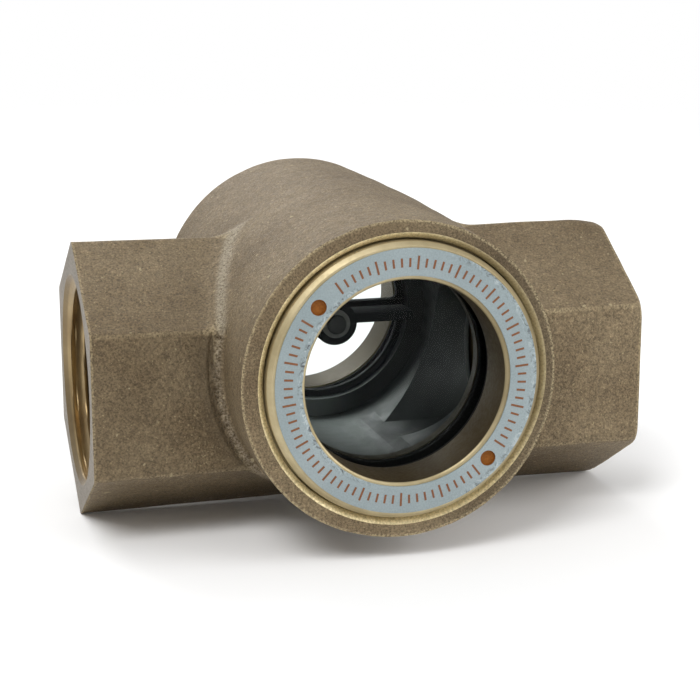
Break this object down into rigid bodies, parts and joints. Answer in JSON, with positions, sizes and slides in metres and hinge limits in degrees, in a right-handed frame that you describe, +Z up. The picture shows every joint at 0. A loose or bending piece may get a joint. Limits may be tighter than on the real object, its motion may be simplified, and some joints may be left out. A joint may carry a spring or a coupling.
{
  "type": "sight glass",
  "caption": "Inline flow sight glass with hexagonal threaded pipe ends, round glass windows front and back held by screwed ring retainers, and a vane rotor that turns with the flow.",
  "frame": {"origin": "centre of the overall box; the pipe axis is 4.072 mm below it and the sight axis 1.728 mm above it", "axes": "+X along the pipe axis from inlet to outlet, -Y out of the front window, +Z up"},
  "size_m": [0.0956, 0.0768, 0.0564],
  "materials": {
    "casting": "sand-cast bronze, dull brown",
    "retainer": "turned brass, satin",
    "label": "thin anodised label, satin",
    "slip_ring": "rolled brass shim",
    "fibre_gasket": "black gasket sheet",
    "rubber_gasket": "black rubber sheet",
    "glass": "polished toughened glass",
    "black_plastic": "moulded black acetal",
    "pin": "drawn stainless",
    "washer": "natural white low-friction plastic"
  },
  "bodies": {
    "casing": {"body": "casting", "front_retainer": "retainer", "front_label": "label", "front_slip_ring": "slip_ring", "front_cushion_gasket": "fibre_gasket", "front_glass": "glass", "front_seat_gasket": "rubber_gasket", "back_retainer": "retainer", "back_label": "label", "back_slip_ring": "slip_ring", "back_cushion_gasket": "fibre_gasket", "back_glass": "glass", "back_seat_gasket": "rubber_gasket", "axle_bridge": "black_plastic", "axle_pin": "pin", "front_thrust_washer": "washer", "back_thrust_washer": "washer"},
    "rotor": {"rotor": "black_plastic"}
  },
  "joints": [
    {"name": "rotor_spin", "type": "hinge", "parent": "casing", "child": "rotor", "pos_m": [0, 0.0127, 0.00173], "axis": [0, 1, 0], "continuous": true}
  ]
}
